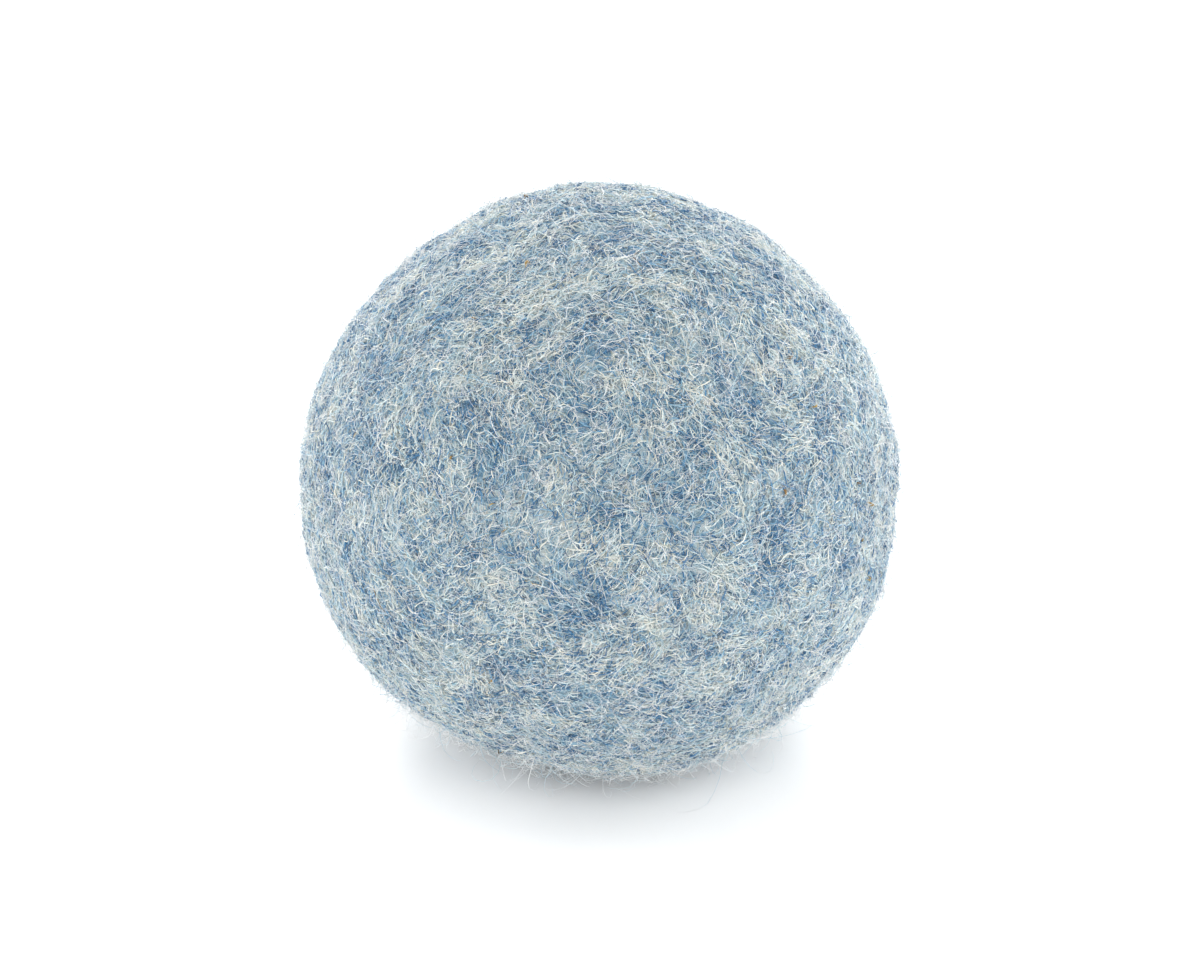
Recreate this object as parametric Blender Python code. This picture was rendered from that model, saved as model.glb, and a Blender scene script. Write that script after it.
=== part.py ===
"""Felted wool dryer ball, in metres, +Z up, resting on z = 0 with its rest flat at the origin.

A strip of coarse batting is rolled into a wad. Five slivers of carded wool are wound over it,
each from pole to pole of its own axis. The last two are dyed, and the outermost is the felted skin.
"""

from math import acos, atan2, ceil, cos, pi, radians, sin, sqrt

import bmesh
import bpy
from mathutils import Matrix, Vector

MM = 0.001
FULL_TURN = 2 * pi

# Driving dimensions
BALL_RADIUS = 35 * MM
REST_FLAT_RADIUS = 6 * MM  # where the soft felt flattens under the ball's own weight
LAYER_GAP = 0.6 * MM  # between the corners of one layer and the next, so that flat facets stay apart
TURN_GAP = 0.3 * MM  # between neighbouring turns of one sliver
EYE_RADIUS = 1.0 * MM  # the hole that a winding leaves at each of its poles
TIP_WIDTH = 2.5 * MM  # a sliver's width at its two torn ends
PILLOW = 0.35 * MM  # how far a sliver's edges lie below its middle

# Wool, as colour and roughness
COARSE_WOOL = ((0.62, 0.55, 0.43), 0.95)
CREAM_WOOL = ((0.78, 0.74, 0.64), 0.92)
BLUE_HEATHER = ((0.36, 0.46, 0.54), 0.90)

# The wound layers from the outside in: name, thickness, width of the sliver, wool, and the winding
# axis as its tilt from +Z towards the front (-Y) and its turn about +Z, in degrees
WRAPS = (
    ("dyed_outer_wrap", 3.0 * MM, 15.7 * MM, BLUE_HEATHER, 62, 8),
    ("dyed_under_wrap", 3.5 * MM, 14.5 * MM, BLUE_HEATHER, 35, 112),
    ("third_wrap", 4.5 * MM, 14.0 * MM, CREAM_WOOL, 80, 205),
    ("second_wrap", 5.0 * MM, 13.0 * MM, CREAM_WOOL, 20, 300),
    ("first_wrap", 5.0 * MM, 11.0 * MM, COARSE_WOOL, 90, 75),
)
CENTRE_HEIGHT = sqrt(BALL_RADIUS**2 - REST_FLAT_RADIUS**2)

# The rolled wad at the centre
CORE_RADIUS = BALL_RADIUS - sum(wrap[1] + LAYER_GAP for wrap in WRAPS)
CORE_TURNS = 2.6
CORE_TILT = 55
CORE_TURN_ABOUT_Z = 20
CORE_STEPS_PER_TURN = 20
CORE_SEGMENTS = 20  # of the sphere that rounds off the wad
CORE_RINGS = 12

# Facets
CHORD = 7 * MM  # longest facet along a sliver and across it
SMOOTH_ANGLE = radians(35)


def clear_scene():
    for obj in list(bpy.data.objects):
        bpy.data.objects.remove(obj)


def wool_material(name, wool):
    colour, roughness = wool
    material = bpy.data.materials.new(name)
    material.use_nodes = True
    shader = material.node_tree.nodes["Principled BSDF"]
    shader.inputs["Base Color"].default_value = (*colour, 1)
    shader.inputs["Roughness"].default_value = roughness
    shader.inputs["Metallic"].default_value = 0
    return material


def on_sphere(radius, polar, azimuth):
    return radius * Vector((sin(polar) * cos(azimuth), sin(polar) * sin(azimuth), cos(polar)))


def axis_rotation(tilt, turn_about_z):
    """The rotation that tilts +Z towards -Y, and then turns it about +Z, both in degrees."""
    return Matrix.Rotation(radians(turn_about_z), 4, "Z") @ Matrix.Rotation(radians(tilt), 4, "X")


def thickened(name, rows, moved_in):
    """One closed body: the sheet through rows of points, extruded to where moved_in puts each point."""
    bm = bmesh.new()
    grid = [[bm.verts.new(point) for point in row] for row in rows]
    for row, following in zip(grid, grid[1:]):
        for i in range(len(row) - 1):
            bm.faces.new((row[i], following[i], following[i + 1], row[i + 1]))
    extruded = bmesh.ops.extrude_face_region(bm, geom=bm.faces[:])
    for item in extruded["geom"]:
        if isinstance(item, bmesh.types.BMVert):
            item.co = moved_in(item.co)
    bmesh.ops.recalc_face_normals(bm, faces=bm.faces[:])
    mesh = bpy.data.meshes.new(name)
    bm.to_mesh(mesh)
    bm.free()
    mesh.shade_smooth()
    mesh.set_sharp_from_angle(angle=SMOOTH_ANGLE)
    return mesh


def wool_object(name, mesh, wool, rotation):
    mesh.materials.append(wool_material(name + "_wool", wool))
    obj = bpy.data.objects.new(name, mesh)
    obj.rotation_euler = rotation.to_euler()
    bpy.context.scene.collection.objects.link(obj)
    return obj


def sliver_rows(radius, width, below):
    """Rows across a sliver wound about local Z, placed so that the middle of a turn passes over below.

    Each turn steps through the same azimuths, so that neighbouring turns keep their gap.
    """
    turns = round(pi * radius / width)
    pitch = pi / turns
    eye = EYE_RADIUS / radius
    half_gap = TURN_GAP / radius / 2
    across = ceil(width / CHORD)
    steps_per_turn = ceil(FULL_TURN * radius / CHORD)
    turns_to_below = acos(below.z) / pitch + 0.5
    first_azimuth = atan2(below.y, below.x) - FULL_TURN * turns_to_below

    first_turn = (eye + TIP_WIDTH / radius) / pitch
    last_turn = turns + 1 - first_turn
    rows = []
    for step in range(ceil(first_turn * steps_per_turn), int(last_turn * steps_per_turn) + 1):
        turn = step / steps_per_turn
        near = max(eye, pitch * (turn - 1)) + half_gap
        far = min(pi - eye, pitch * turn) - half_gap
        row = []
        for i in range(across + 1):
            share = i / across
            depth = PILLOW * (2 * share - 1) ** 4
            polar = near + share * (far - near)
            row.append(on_sphere(radius - depth, polar, first_azimuth + FULL_TURN * turn))
        rows.append(row)
    return rows


def make_wrap(name, outer_radius, thickness, width, wool, tilt, turn_about_z):
    """A wound layer. Its local Z is the winding axis."""
    rotation = axis_rotation(tilt, turn_about_z)
    below = rotation.inverted() @ Vector((0, 0, -1))
    rows = sliver_rows(outer_radius, width, below)
    inner_radius = outer_radius - thickness
    mesh = thickened(name, rows, lambda point: point.normalized() * inner_radius)
    return wool_object(name, mesh, wool, rotation)


def make_core_roll():
    """The wad: a strip rolled up about local Z, as tall as the ball until it is rounded off."""
    pitch = CORE_RADIUS / (CORE_TURNS + 1)
    thickness = pitch - TURN_GAP
    rows = []
    for step in range(ceil(CORE_TURNS * CORE_STEPS_PER_TURN) + 1):
        turn = step / CORE_STEPS_PER_TURN
        radius = pitch * (1 + turn)
        x = radius * cos(FULL_TURN * turn)
        y = radius * sin(FULL_TURN * turn)
        rows.append([Vector((x, y, -BALL_RADIUS)), Vector((x, y, BALL_RADIUS))])

    def moved_in(point):
        from_axis = Vector((point.x, point.y, 0))
        return point - from_axis.normalized() * thickness

    mesh = thickened("core_roll", rows, moved_in)
    return wool_object("core_roll", mesh, COARSE_WOOL, axis_rotation(CORE_TILT, CORE_TURN_ABOUT_Z))


def add_boolean(obj, operation, helper_name, fill_helper):
    """Gives obj a Boolean with a hidden helper solid, which fill_helper draws, and returns the helper."""
    mesh = bpy.data.meshes.new(helper_name)
    bm = bmesh.new()
    fill_helper(bm)
    bm.to_mesh(mesh)
    bm.free()
    helper = bpy.data.objects.new(helper_name, mesh)
    helper.hide_render = True
    helper.display_type = "WIRE"
    bpy.context.scene.collection.objects.link(helper)
    modifier = obj.modifiers.new(helper_name, "BOOLEAN")
    modifier.operation = operation
    modifier.object = helper
    return helper


def round_off_core(core_roll, centre):
    def ball(bm):
        bmesh.ops.create_uvsphere(bm, u_segments=CORE_SEGMENTS, v_segments=CORE_RINGS, radius=CORE_RADIUS)

    add_boolean(core_roll, "INTERSECT", "core_rounding", ball).parent = centre


def flatten_base(outer_wrap):
    def block(bm):
        bmesh.ops.create_cube(bm, size=BALL_RADIUS)

    add_boolean(outer_wrap, "DIFFERENCE", "below_the_base", block).location.z = -BALL_RADIUS / 2


def build():
    clear_scene()
    centre = bpy.data.objects.new("ball_centre", None)
    centre.location.z = CENTRE_HEIGHT
    bpy.context.scene.collection.objects.link(centre)

    pieces = []
    outer_radius = BALL_RADIUS
    for name, thickness, *rest in WRAPS:
        pieces.append(make_wrap(name, outer_radius, thickness, *rest))
        outer_radius -= thickness + LAYER_GAP
    pieces.append(make_core_roll())
    for piece in pieces:
        piece.parent = centre

    flatten_base(pieces[0])
    round_off_core(pieces[-1], centre)


build()
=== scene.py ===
"""The looks of the felted wool dryer ball: dyed fibres and fuzz over a felt skin, and the wool inside."""

import bmesh
import bpy
import numpy as np
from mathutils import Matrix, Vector


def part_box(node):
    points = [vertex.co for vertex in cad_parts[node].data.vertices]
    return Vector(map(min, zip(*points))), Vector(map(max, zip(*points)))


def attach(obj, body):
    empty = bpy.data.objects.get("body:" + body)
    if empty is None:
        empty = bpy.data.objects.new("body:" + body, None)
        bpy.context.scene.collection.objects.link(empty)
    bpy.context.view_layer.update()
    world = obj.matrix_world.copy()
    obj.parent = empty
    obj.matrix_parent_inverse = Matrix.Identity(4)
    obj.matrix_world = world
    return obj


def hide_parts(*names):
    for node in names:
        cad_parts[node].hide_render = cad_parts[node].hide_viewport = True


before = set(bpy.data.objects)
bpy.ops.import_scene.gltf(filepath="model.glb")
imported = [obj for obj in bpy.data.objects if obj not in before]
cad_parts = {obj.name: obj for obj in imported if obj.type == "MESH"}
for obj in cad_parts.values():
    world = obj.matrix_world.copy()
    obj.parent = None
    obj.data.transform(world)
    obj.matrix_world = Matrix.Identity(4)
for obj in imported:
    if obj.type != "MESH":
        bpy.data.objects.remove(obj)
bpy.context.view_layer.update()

MM = 0.001
FULL_TURN = 2 * np.pi
rng = np.random.default_rng(7)

# The ball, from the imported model
LOW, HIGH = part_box("dyed_outer_wrap")
RADIUS = max(HIGH - LOW) / 2
CENTRE = np.array(((LOW.x + HIGH.x) / 2, (LOW.y + HIGH.y) / 2, HIGH.z - RADIUS))
SKIN_THICKNESS = 2.8 * MM
SKIN_DEPTH = 0.3 * MM  # the felt's ground lies this far under the CAD surface, with fibres lying on it
FLOOR_CLEARANCE = 0.01 * MM

# The outer sliver's winding axis, as in the CAD model: tilted from +Z towards -Y, then turned about +Z
AXIS_TILT, AXIS_TURN = np.radians((62, 8))
AXIS = np.array(
    (np.sin(AXIS_TURN) * np.sin(AXIS_TILT), -np.cos(AXIS_TURN) * np.sin(AXIS_TILT), np.cos(AXIS_TILT))
)

# Creases, where felting has drawn the surface in
CREASES = 7
CREASE_DEPTH = 0.45 * MM
CREASE_HALF_WIDTH = 0.45 * MM
CREASE_HALF_LENGTH = 4.5 * MM
CREASE_CURVE = 60 * MM
PAINTED_CREASE_SHADE = 10  # how many more of the darker blue fibres gather in a crease, which paints shade into it

# The fibres of the felt
SHORT_FIBRES = 96000
LONG_FIBRES = 12000
NEPS = 130  # little knots of cream wool
FIBRES_IN_NEP = 12
STRAW_CHIPS = 44
KEMP_HAIRS = 14
MOST_TRIANGLES = 200_000  # in one piece
SPREAD = (0.6, 1.5)  # the least and greatest length or width of a fibre, over its lot's mean
WANDERING = 0.45  # how far the lie of the fibres strays from the winding
END_DEPTH = 0.12 * MM  # a fibre's ends are felted in this far
MIDDLE_RISE = 0.16 * MM
WEAVE = 0.12 * MM  # how far a fibre goes over and under its neighbours
KINK = 0.12  # radians, at each point along a fibre
END_WIDTH = 0.35  # a felted fibre's width at its ends, over its middle
TIP_TAPER = 0.6  # how much of a loose hair's width is gone at its tip
DYE_SPREAD = 0.18  # of each fibre's dye, by place and again by chance

# The camera, which looks down at the front of the ball
CAMERA_ELEVATION = np.radians(27)
CAMERA_DISTANCE = 0.475
CAMERA_LENS = 120


# ---------------------------------------------------------------- random fields on the ball


def unit(vectors):
    return vectors / np.linalg.norm(vectors, axis=-1, keepdims=True)


def random_directions(count):
    return unit(rng.normal(size=(count, 3)))


def smooth_field(wavelength, waves=20):
    """A random smooth function of points, of unit spread: a sum of plane waves about one wavelength long."""
    lengths = wavelength * rng.uniform(0.7, 1.4, (waves, 1))
    wave_vectors = random_directions(waves) * FULL_TURN / lengths
    phases = rng.uniform(0, FULL_TURN, waves)
    return lambda points: np.sqrt(2 / waves) * np.cos(points @ wave_vectors.T + phases).sum(axis=-1)


def turned_about_axis(directions, angle):
    """Directions turned about the winding axis (Rodrigues' rotation)."""
    along_axis = (directions @ AXIS)[..., None] * AXIS
    return (
        along_axis
        + np.cos(angle) * (directions - along_axis)
        + np.sin(angle) * np.cross(AXIS, directions)
    )


def streaked(field, half_length=0.3, samples=7):
    """The field smeared along the winding, so that its patches become streaks."""
    angles = np.linspace(-half_length, half_length, samples)

    def value(directions):
        total = sum(field(RADIUS * turned_about_axis(directions, angle)) for angle in angles)
        return total / np.sqrt(samples)

    return value


LUMPS = (
    (0.42 * MM, smooth_field(75 * MM)),
    (0.20 * MM, smooth_field(28 * MM)),
    (0.09 * MM, smooth_field(10 * MM)),
    (0.05 * MM, smooth_field(3.5 * MM)),
)
LOFT = smooth_field(1.6 * MM)
WANDER = [smooth_field(22 * MM) for _ in range(3)]
blue_patches = smooth_field(10 * MM)
small_patches = smooth_field(4.0 * MM)
fine_patches = smooth_field(2.0 * MM)
cream_streaks = streaked(smooth_field(5 * MM))


def crease_places():
    """Each crease: its middle, and the directions along it and across it."""
    places = []
    for middle in random_directions(CREASES):
        along = unit(np.cross(AXIS, middle) + 0.4 * rng.normal(size=3))
        along = unit(along - (along @ middle) * middle)
        places.append((middle, along, np.cross(middle, along)))
    return places


CREASE_PLACES = crease_places()


def crease_share(directions):
    """From 0 to 1: how deep in a crease each direction lies."""
    share = np.zeros(directions.shape[:-1])
    for middle, along, across in CREASE_PLACES:
        u = RADIUS * (directions @ along)
        v = RADIUS * (directions @ across) - u**2 / CREASE_CURVE
        near_side = directions @ middle > 0
        share += near_side * np.exp(-((v / CREASE_HALF_WIDTH) ** 2) - (u / CREASE_HALF_LENGTH) ** 4)
    return share


def skin_radius(directions):
    points = RADIUS * directions
    lumps = sum(size * field(points) for size, field in LUMPS)
    return RADIUS - SKIN_DEPTH + lumps - CREASE_DEPTH * crease_share(directions)


def above_floor(points, clearance=0.0):
    """Points with those below the rest flat lifted onto it."""
    points[..., 2] = np.maximum(points[..., 2], clearance)
    return points


# ---------------------------------------------------------------- node materials


class Nodes:
    """Adds nodes to a material in one line each."""

    def __init__(self, name):
        self.material = bpy.data.materials.new(name)
        self.material.use_nodes = True
        self.tree = self.material.node_tree
        self.shader = self.tree.nodes["Principled BSDF"]

    def link(self, value, socket):
        if isinstance(value, bpy.types.NodeSocket):
            self.tree.links.new(value, socket)
        else:
            socket.default_value = value

    def add(self, kind, output=0, settings=(), **inputs):
        node = self.tree.nodes.new(kind)
        for name, value in dict(settings).items():
            setattr(node, name, value)
        for name, value in inputs.items():
            self.link(value, node.inputs[name.replace("_", " ")])
        return node.outputs[output]

    def position(self):
        return self.add("ShaderNodeTexCoord", "Object")

    def noise(self, scale, detail=2.0):
        return self.add("ShaderNodeTexNoise", "Fac", Vector=self.position(), Scale=scale, Detail=detail)

    def math(self, operation, first, second):
        node = self.tree.nodes.new("ShaderNodeMath")
        node.operation = operation
        self.link(first, node.inputs[0])
        self.link(second, node.inputs[1])
        return node.outputs[0]

    def blend(self, first, second, share):
        """Two values added, the second in this share."""
        first_part = self.math("MULTIPLY", first, 1 - share)
        return self.math("ADD", first_part, self.math("MULTIPLY", second, share))

    def ramp(self, fac, *stops):
        """A colour ramp, from (position, colour) stops. A number stands for a grey."""
        node = self.tree.nodes.new("ShaderNodeValToRGB")
        elements = node.color_ramp.elements
        while len(elements) < len(stops):
            elements.new(0.5)
        for element, (position, colour) in zip(elements, stops):
            element.position = position
            element.color = (*colour, 1) if isinstance(colour, tuple) else (colour, colour, colour, 1)
        self.link(fac, node.inputs["Fac"])
        return node.outputs["Color"]

    def mix(self, fac, first, second):
        node = self.tree.nodes.new("ShaderNodeMixRGB")
        self.link(fac, node.inputs["Fac"])
        for colour, socket in ((first, node.inputs["Color1"]), (second, node.inputs["Color2"])):
            self.link(colour if isinstance(colour, bpy.types.NodeSocket) else (*colour, 1), socket)
        return node.outputs["Color"]

    def bump(self, height, distance):
        bumped = self.add("ShaderNodeBump", "Normal", Height=height, Distance=distance)
        self.link(bumped, self.shader.inputs["Normal"])

    def wool(self, colour, roughness, sheen=0.4):
        """Wool's plain sockets: no gloss, and a soft sheen at grazing angles."""
        self.link(colour, self.shader.inputs["Base Color"])
        self.link(roughness, self.shader.inputs["Roughness"])
        self.shader.inputs["Specular IOR Level"].default_value = 0.25
        self.shader.inputs["Sheen Weight"].default_value = sheen
        self.shader.inputs["Sheen Roughness"].default_value = 0.5
        return self.material


def srgb(red, green, blue):
    """A linear colour from 0 to 255 sRGB values."""
    values = np.array((red, green, blue)) / 255
    linear = np.where(values < 0.04045, values / 12.92, ((values + 0.055) / 1.055) ** 2.4)
    return tuple(linear.tolist())


WHITE_WOOL = srgb(252, 251, 248)
MIST = srgb(226, 230, 232)
CREAM = srgb(243, 239, 225)
PALE_BLUE = srgb(203, 222, 226)
MID_BLUE = srgb(138, 178, 199)
DEEP_BLUE = srgb(64, 126, 174)
INK_BLUE = srgb(38, 78, 112)
SAGE_GREY = srgb(150, 164, 156)
RAW_WOOL = srgb(226, 214, 188)
COARSE_WOOL = srgb(186, 170, 140)
STRAW = srgb(204, 174, 104)
BARK = srgb(92, 66, 46)


def felt_ground_material():
    """The dense felt under the loose fibres: heather mottling at two sizes, finer specks darkened towards ink
    blue as painted shade between the fibres, and a matted relief.
    """
    nodes = Nodes("felt_ground")
    patches = nodes.noise(scale=90, detail=3)
    flecks = nodes.noise(scale=900, detail=4)
    fine = nodes.noise(scale=2600, detail=3)
    mottling = nodes.blend(patches, flecks, share=0.65)
    colour = nodes.ramp(mottling, (0.36, DEEP_BLUE), (0.46, MID_BLUE), (0.55, PALE_BLUE), (0.66, CREAM))
    # painted shade: fine specks darkened towards ink blue, for the shade between the fibres
    colour_with_painted_gap_shade = nodes.mix(nodes.math("MULTIPLY", fine, 0.5), colour, INK_BLUE)
    nodes.bump(nodes.math("ADD", flecks, fine), distance=0.3 * MM)
    return nodes.wool(colour_with_painted_gap_shade, nodes.ramp(flecks, (0.3, 0.8), (0.7, 0.95)))


def batting_material(name, dark, light):
    """Loose carded wool: soft clumps, fine fibres and a few darker flecks."""
    nodes = Nodes(name)
    clumps = nodes.noise(scale=250, detail=3)
    fibres = nodes.noise(scale=2200, detail=4)
    colour = nodes.ramp(nodes.blend(clumps, fibres, share=0.5), (0.38, dark), (0.6, light))
    flecks = nodes.ramp(nodes.noise(scale=1200, detail=1), (0.72, 0.0), (0.76, 1.0))
    nodes.bump(nodes.math("ADD", clumps, fibres), distance=0.4 * MM)
    return nodes.wool(nodes.mix(flecks, colour, BARK), nodes.ramp(fibres, (0.3, 0.8), (0.7, 0.95)))


def fibre_material(name, dark, light, sheen=0.3):
    """One dye lot: each fibre has its own dye, which varies a little along it."""
    nodes = Nodes(name)
    dye = nodes.add("ShaderNodeAttribute", "Fac", settings={"attribute_name": "dye"})
    along = nodes.noise(scale=700, detail=2)
    colour = nodes.ramp(nodes.blend(dye, along, share=0.27), (0.1, dark), (0.9, light))
    nodes.bump(nodes.noise(scale=9000, detail=2), distance=0.02 * MM)
    return nodes.wool(colour, nodes.ramp(along, (0.35, 0.55), (0.65, 0.8)), sheen)


# ---------------------------------------------------------------- fibres


def link(name, mesh, material):
    """Puts a finished piece into the scene, on the ball's only body."""
    mesh.materials.clear()
    mesh.materials.append(material)
    mesh.shade_smooth()
    obj = bpy.data.objects.new(name, mesh)
    bpy.context.scene.collection.objects.link(obj)
    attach(obj, "root")
    return obj


def lie_of_fibres(directions):
    """The way the fibres mostly lie: round the winding axis, wandering from place to place."""
    points = RADIUS * directions
    wander = np.stack([field(points) for field in WANDER], axis=-1)
    heading = np.cross(AXIS, directions) + WANDERING * wander
    heading -= (heading * directions).sum(axis=-1, keepdims=True) * directions
    return unit(heading)


def paths_over_ball(starts, lengths, scatter, curl, points):
    """Unit directions along fibres that lie on the ball. The result's axes are fibre, point and xyz."""
    count = len(starts)
    step = (lengths / (points - 1) / RADIUS)[:, None]
    angle = scatter * rng.normal(size=count) + np.pi * rng.integers(0, 2, count)
    turn = curl * rng.normal(size=count) / points
    lines = [starts]
    for _ in range(points - 1):
        here = lines[-1]
        along = lie_of_fibres(here)
        across = np.cross(here, along)
        move = np.cos(angle)[:, None] * along + np.sin(angle)[:, None] * across
        lines.append(unit(here + step * move))
        angle = angle + turn + KINK * rng.normal(size=count)
    return np.stack(lines, axis=1)


def tube_template(points):
    """The corners of one closed three-sided tube with pointed ends, as (point along, side) for each face."""
    last = points - 1
    faces = [[(0, side + 0.5), (1, side + 1), (1, side)] for side in range(3)]
    for k in range(1, last - 1):
        faces += [[(k, side), (k, side + 1), (k + 1, side + 1), (k + 1, side)] for side in range(3)]
    faces += [[(last, side + 0.5), (last - 1, side), (last - 1, side + 1)] for side in range(3)]
    return faces


def most_fibres(points):
    """How many tubes of this many points one piece may hold."""
    triangles_in_tube = 6 * (points - 2)
    return MOST_TRIANGLES // triangles_in_tube


def tube_vertices(centres, radii):
    """The vertices of each tube: its first point, its rings of three, then its last point."""
    tangents = unit(np.gradient(centres, axis=1))
    reference = random_directions(len(centres))[:, None, :]
    side = unit(np.cross(tangents, reference) + 1e-6)
    other = np.cross(tangents, side)
    rings = []
    for angle in np.arange(3) * FULL_TURN / 3:
        rings.append(centres + radii[..., None] * (np.cos(angle) * side + np.sin(angle) * other))
    rings = np.stack(rings, axis=2)[:, 1:-1].reshape(len(centres), -1, 3)
    return np.concatenate([centres[:, :1], rings, centres[:, -1:]], axis=1)


def add_bake_map(mesh, count, places):
    """A texture map with a cell of its own for each fibre. places lie from 0 to 1."""
    cells = int(np.ceil(np.sqrt(count)))
    number = np.arange(count)
    cell = np.stack([number % cells, number // cells], axis=-1)
    within = 0.1 + 0.8 * places
    uv = (cell[:, None, :] + within) / cells
    layer = mesh.uv_layers.new(name="OFBake")
    layer.data.foreach_set("uv", uv.astype(np.float32).ravel())


def tube_mesh(name, centres, radii, dye):
    """All the fibres of one piece as closed tubes. dye is one number for each fibre, from 0 to 1."""
    count, points = centres.shape[:2]
    vertices = above_floor(tube_vertices(centres, radii), FLOOR_CLEARANCE)
    per_fibre = vertices.shape[1]

    def index(k, side):
        if k == 0:
            return 0
        if k == points - 1:
            return per_fibre - 1
        return 1 + 3 * (k - 1) + side % 3

    faces = tube_template(points)
    corners = [corner for face in faces for corner in face]
    loop_vertices = np.array([index(*corner) for corner in corners])
    loop_vertices = (loop_vertices + per_fibre * np.arange(count)[:, None]).ravel()
    loop_totals = np.tile([len(face) for face in faces], count)
    loop_starts = np.cumsum(loop_totals) - loop_totals

    mesh = bpy.data.meshes.new(name)
    mesh.vertices.add(count * per_fibre)
    mesh.vertices.foreach_set("co", vertices.astype(np.float32).ravel())
    mesh.loops.add(len(loop_vertices))
    mesh.loops.foreach_set("vertex_index", loop_vertices.astype(np.int32))
    mesh.polygons.add(len(loop_totals))
    mesh.polygons.foreach_set("loop_start", loop_starts.astype(np.int32))
    mesh.polygons.foreach_set("loop_total", loop_totals.astype(np.int32))
    mesh.update(calc_edges=True)

    attribute = mesh.attributes.new("dye", "FLOAT", "POINT")
    attribute.data.foreach_set("value", np.repeat(dye, per_fibre).astype(np.float32))
    add_bake_map(mesh, count, np.array([(k / (points - 1), side / 3) for k, side in corners]))
    return mesh


def weighted_starts(count, weight):
    """Start directions, more of them where weight(directions) is high."""
    candidates = random_directions(4 * count)
    keys = rng.random(len(candidates)) ** (1 / weight(candidates))
    return candidates[np.argsort(keys)[-count:]]


def lying_fibres(name, starts, width, length, height, points, material, curl=2.2):
    """Fibres felted into the surface: they lie along the winding, with both ends pulled in."""
    count = len(starts)
    lengths = length * rng.uniform(*SPREAD, count)
    lines = paths_over_ball(starts, lengths, scatter=0.5, curl=curl, points=points)
    share = np.linspace(0, 1, points)
    arch = np.sin(np.pi * share) ** 0.7
    top = height * rng.uniform(0, 1, (count, 1)) + WEAVE * rng.normal(size=(count, points))
    radii = skin_radius(lines) - END_DEPTH + (top + MIDDLE_RISE) * arch
    centres = CENTRE + radii[..., None] * lines
    half_widths = width / 2 * rng.uniform(*SPREAD, (count, 1)) * (END_WIDTH + (1 - END_WIDTH) * arch)
    dye = 0.5 + DYE_SPREAD * fine_patches(RADIUS * starts) + DYE_SPREAD * rng.normal(size=count)
    mesh = tube_mesh(name, centres, half_widths, np.clip(dye, 0, 1))
    return link(name, mesh, material)


def fuzz(name, count, width, length, lift, points, material):
    """Loose hairs that leave the surface and curl over, each thinner towards its tip."""
    starts = random_directions(count)
    lengths = length * rng.uniform(*SPREAD, count)
    lines = paths_over_ball(starts, lengths, scatter=1.8, curl=4.0, points=points)
    share = np.linspace(0, 1, points)
    bend = np.sin(share * rng.uniform(1.3, 2.9, (count, 1)))
    radii = skin_radius(lines) + lift * rng.gamma(2.0, 0.5, (count, 1)) * bend
    centres = CENTRE + radii[..., None] * lines
    half_widths = width / 2 * rng.uniform(*SPREAD, (count, 1)) * (1 - TIP_TAPER * share)
    mesh = tube_mesh(name, centres, half_widths, rng.random(count))
    return link(name, mesh, material)


def blue_weight(gain):
    """Where the blue slivers gather: in patches of three sizes, and in the creases, where the darker blue
    paints shade.
    """

    def weight(directions):
        points = RADIUS * directions
        patches = 0.35 * blue_patches(points) + 0.8 * small_patches(points) + 0.6 * fine_patches(points)
        # painted shade: the darker blue fibres crowd into the creases
        return np.exp(gain * patches) * (1 + PAINTED_CREASE_SHADE * gain * crease_share(directions))

    return weight


def cream_weight(gain):
    """Where the cream slivers gather: in streaks along the winding, between the blue patches."""

    def weight(directions):
        points = RADIUS * directions
        patches = 0.3 * blue_patches(points) + 0.5 * small_patches(points) + 0.4 * fine_patches(points)
        return np.exp(gain * (0.85 * cream_streaks(directions) - patches))

    return weight


def felted_fibres():
    """The matted fibres, lot by lot. A lot is one dye, with its share of all fibres and where they gather."""
    lots = (
        ("deep_blue", INK_BLUE, DEEP_BLUE, 0.21, blue_weight(1.5)),
        ("mid_blue", DEEP_BLUE, MID_BLUE, 0.23, blue_weight(0.6)),
        ("pale_blue", MID_BLUE, PALE_BLUE, 0.22, cream_weight(0.1)),
        ("cream", PALE_BLUE, CREAM, 0.30, cream_weight(1.1)),
        ("sage", SAGE_GREY, CREAM, 0.04, cream_weight(0.1)),
    )
    kinds = (
        ("short", SHORT_FIBRES, 0.125 * MM, 2.2 * MM, 0.42 * MM, 5),
        ("long", LONG_FIBRES, 0.10 * MM, 4.6 * MM, 0.46 * MM, 7),
    )
    for lot, dark, light, share, weight in lots:
        material = fibre_material(lot + "_wool", dark, light)
        for kind, number, width, length, height, points in kinds:
            total = round(share * number)
            parts = int(np.ceil(total / most_fibres(points)))
            for part in range(parts):
                starts = weighted_starts(total // parts, weight)
                name = f"{lot}_{kind}_fibres_{part + 1}"
                lying_fibres(name, starts, width, length, height, points, material)


def neps():
    """Little knots of cream wool, as carding leaves them."""
    middles = np.repeat(random_directions(NEPS), FIBRES_IN_NEP, axis=0)
    starts = unit(middles + 0.35 * MM / RADIUS * rng.normal(size=middles.shape))
    material = fibre_material("nep_wool", PALE_BLUE, CREAM)
    lying_fibres("cream_neps", starts, 0.12 * MM, 1.3 * MM, 0.5 * MM, 5, material, curl=6.0)


def litter():
    """The straw chips and the few dark kemp hairs that stay in such wool."""
    material = fibre_material("straw_and_kemp", BARK, STRAW)
    chips = random_directions(STRAW_CHIPS)
    hairs = random_directions(KEMP_HAIRS)
    lying_fibres("straw_chips", chips, 0.30 * MM, 0.9 * MM, 1.0 * MM, 4, material)
    lying_fibres("kemp_hairs", hairs, 0.10 * MM, 4.0 * MM, 0.9 * MM, 9, material)


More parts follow.
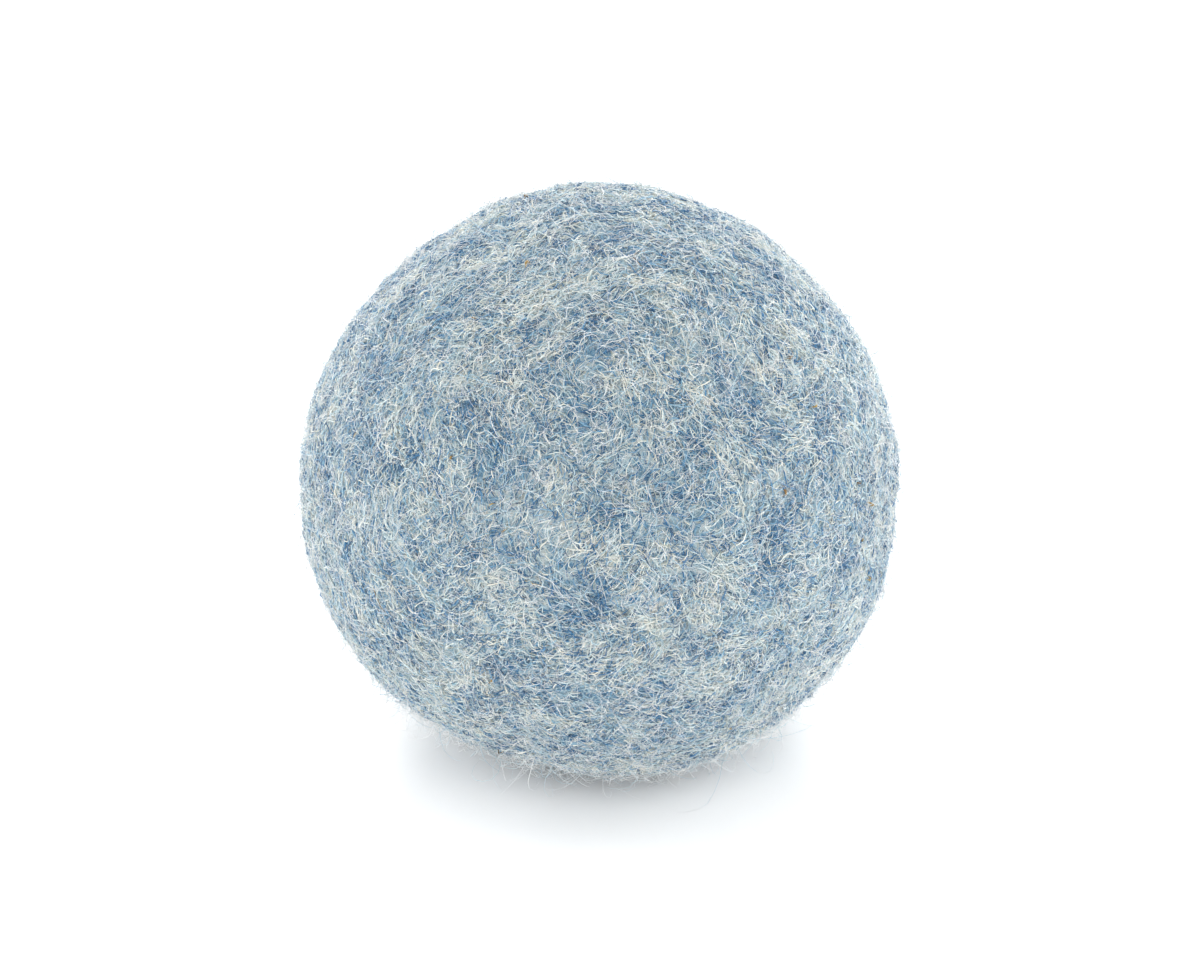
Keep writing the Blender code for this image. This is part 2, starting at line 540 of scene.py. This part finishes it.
def loose_fibres():
    """The fuzz that stands off the felt, pale and blue, and the few long hairs in it."""
    pale = fibre_material("pale_fuzz_wool", MIST, WHITE_WOOL, sheen=1.0)
    blue = fibre_material("blue_fuzz_wool", MID_BLUE, PALE_BLUE, sheen=1.0)
    for number in range(1, 5):
        fuzz(f"short_pale_fuzz_{number}", 9500, 0.055 * MM, 2.2 * MM, 0.65 * MM, 5, pale)
    fuzz("short_blue_fuzz", 4000, 0.055 * MM, 2.2 * MM, 0.65 * MM, 5, blue)
    fuzz("curly_pale_fuzz", 6600, 0.060 * MM, 4.0 * MM, 1.3 * MM, 7, pale)
    fuzz("curly_blue_fuzz", 3500, 0.055 * MM, 4.0 * MM, 1.3 * MM, 7, blue)
    fuzz("stray_hairs", 700, 0.065 * MM, 8.0 * MM, 2.2 * MM, 9, blue)


# ---------------------------------------------------------------- the felt's ground and the wool inside


def cube_sphere(cells):
    bm = bmesh.new()
    bmesh.ops.create_cube(bm, size=2)
    bmesh.ops.subdivide_edges(bm, edges=bm.edges[:], cuts=cells - 1, use_grid_fill=True)
    return bm


def spread_evenly(cube_points):
    """Directions through a cube's surface points, spaced evenly over the sphere."""
    return unit(np.tan(cube_points * np.pi / 4))


def shaped(bm, radius_of):
    """Moves a cube sphere's vertices to radius_of their directions."""
    directions = spread_evenly(np.array([v.co for v in bm.verts]))
    points = above_floor(CENTRE + radius_of(directions) * directions)
    for vertex, point in zip(bm.verts, points):
        vertex.co = point


def felt_skin():
    """The felt's ground: a hollow shell, lumpy outside and plain inside."""
    shell = cube_sphere(cells=110)
    shaped(shell, lambda directions: skin_radius(directions)[:, None])
    lining = cube_sphere(cells=40)
    shaped(lining, lambda directions: RADIUS - SKIN_THICKNESS)
    bmesh.ops.reverse_faces(lining, faces=lining.faces[:])
    mesh = bpy.data.meshes.new("felt_skin")
    lining.to_mesh(mesh)
    lining.free()
    shell.from_mesh(mesh)
    shell.to_mesh(mesh)
    shell.free()
    skin = link("felt_skin", mesh, felt_ground_material())
    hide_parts("dyed_outer_wrap")


def rounded_copy(node, name):
    """A CAD solid's mesh with its triangles joined to quads, then subdivided smooth."""
    bm = bmesh.new()
    bm.from_mesh(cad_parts[node].data)
    bmesh.ops.remove_doubles(bm, verts=bm.verts[:], dist=0.01 * MM)
    bmesh.ops.join_triangles(bm, faces=bm.faces[:], angle_face_threshold=0.7, angle_shape_threshold=1.2)
    mesh = bpy.data.meshes.new(name)
    bm.to_mesh(mesh)
    bm.free()
    cage = bpy.data.objects.new(name + "_cage", mesh)
    bpy.context.scene.collection.objects.link(cage)
    cage.modifiers.new("Rounding", "SUBSURF").levels = 2
    graph = bpy.context.evaluated_depsgraph_get()
    smooth = bpy.data.meshes.new_from_object(cage.evaluated_get(graph))
    bpy.data.objects.remove(cage)
    smooth.name = name
    return smooth


def inner_layer(node, name, material):
    """A wound layer in its CAD place, with rounded edges and the uneven surface of loose wool."""
    mesh = rounded_copy(node, name)
    points = np.empty(len(mesh.vertices) * 3, np.float32)
    normals = np.empty_like(points)
    mesh.vertices.foreach_get("co", points)
    mesh.vertices.foreach_get("normal", normals)
    points = points.reshape(-1, 3)
    sunk = 0.08 * MM * (LOFT(points) - 1.5)
    points += sunk[:, None].astype(np.float32) * normals.reshape(-1, 3)
    mesh.vertices.foreach_set("co", points.ravel())
    layer = link(name, mesh, material)
    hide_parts(node)


def inner_layers():
    dyed = batting_material("dyed_batting", DEEP_BLUE, PALE_BLUE)
    cream = batting_material("cream_batting", COARSE_WOOL, RAW_WOOL)
    coarse = batting_material("coarse_batting", BARK, COARSE_WOOL)
    inner_layer("dyed_under_wrap", "combed_dyed_layer", dyed)
    inner_layer("third_wrap", "combed_outer_cream_layer", cream)
    inner_layer("second_wrap", "combed_inner_cream_layer", cream)
    inner_layer("first_wrap", "coarse_layer", coarse)
    inner_layer("core_roll", "coarse_roll", coarse)


# ---------------------------------------------------------------- the stage


def floor_material():
    """White paper that glows as painted light, brighter away from the ball, so that it runs into the
    backdrop; with no glow right next to the ball, which paints a contact shadow there.
    """
    nodes = Nodes("floor_paper")
    grain = nodes.ramp(nodes.noise(scale=60, detail=3), (0.3, 0.90), (0.7, 0.92))
    away = nodes.add(
        "ShaderNodeVectorMath", "Value", settings={"operation": "LENGTH"}, Vector=nodes.position()
    )
    # painted light and shadow: the floor glows more the farther it is from the ball, and not at all close to
    # it
    painted_glow_and_contact_shadow = nodes.ramp(away, (0.008, 0.0), (0.03, 0.28), (0.10, 0.6), (0.7, 0.9))
    nodes.link(grain, nodes.shader.inputs["Base Color"])
    nodes.link(painted_glow_and_contact_shadow, nodes.shader.inputs["Emission Strength"])
    nodes.shader.inputs["Emission Color"].default_value = (1, 1, 1, 1)
    nodes.shader.inputs["Roughness"].default_value = 0.9
    nodes.shader.inputs["Specular IOR Level"].default_value = 0.1
    return nodes.material


def stage():
    reach = 40 * RADIUS
    corners = [(-reach, -reach, 0), (reach, -reach, 0), (reach, reach, 0), (-reach, reach, 0)]
    mesh = bpy.data.meshes.new("floor")
    mesh.from_pydata(corners, [], [(0, 1, 2, 3)])
    mesh.materials.append(floor_material())
    floor = bpy.data.objects.new("floor", mesh)
    bpy.context.scene.collection.objects.link(floor)


def softbox(name, direction, size, power, distance=0.9):
    """A round soft light, aimed at the ball."""
    data = bpy.data.lights.new(name, "AREA")
    data.shape = "DISK"
    data.size = size
    data.energy = power
    light = bpy.data.objects.new(name, data)
    light.location = Vector(CENTRE) + distance * Vector(direction).normalized()
    light.rotation_euler = (Vector(CENTRE) - light.location).to_track_quat("-Z", "Y").to_euler()
    bpy.context.scene.collection.objects.link(light)


def world_light(strength, seen):
    """Even white light all round, which the camera sees as a backdrop of its own brightness."""
    world = bpy.data.worlds.new("studio")
    world.use_nodes = True
    tree = world.node_tree
    path = tree.nodes.new("ShaderNodeLightPath")
    level = tree.nodes.new("ShaderNodeMapRange")
    level.inputs["To Min"].default_value = strength
    level.inputs["To Max"].default_value = seen
    tree.links.new(path.outputs["Is Camera Ray"], level.inputs["Value"])
    background = tree.nodes["Background"]
    background.inputs["Color"].default_value = (1, 1, 1, 1)
    tree.links.new(level.outputs["Result"], background.inputs["Strength"])
    bpy.context.scene.world = world


def camera():
    data = bpy.data.cameras.new("camera")
    data.lens = CAMERA_LENS
    data.clip_start = 1 * MM
    obj = bpy.data.objects.new("camera", data)
    away = Vector((0, -np.cos(CAMERA_ELEVATION), np.sin(CAMERA_ELEVATION)))
    obj.location = Vector(CENTRE) + CAMERA_DISTANCE * away
    obj.rotation_euler = (-away).to_track_quat("-Z", "Y").to_euler()
    bpy.context.scene.collection.objects.link(obj)
    bpy.context.scene.camera = obj


def studio():
    """A light tent: soft light from above, in front, behind and both sides, strongest low at the sides."""
    stage()
    world_light(0.30, seen=1.0)
    softbox("top_softbox", (-0.2, 0.1, 1.0), size=0.9, power=2.8)
    softbox("front_softbox", (0.0, -1.0, 0.7), size=0.6, power=3.7)
    softbox("rear_softbox", (0.0, 1.0, 0.9), size=0.6, power=7.4)
    softbox("left_rear_panel", (-1.0, 0.3, 0.4), size=0.6, power=2.6)
    softbox("right_rear_panel", (1.0, 0.3, 0.4), size=0.6, power=2.7)
    softbox("left_low_panel", (-1.0, -0.2, 0.05), size=0.5, power=3.9)
    softbox("right_low_panel", (1.0, -0.2, 0.05), size=0.5, power=5.5)
    camera()
    bpy.context.scene.view_settings.view_transform = "Standard"


def build():
    felt_skin()
    inner_layers()
    felted_fibres()
    neps()
    litter()
    loose_fibres()
    studio()


build()
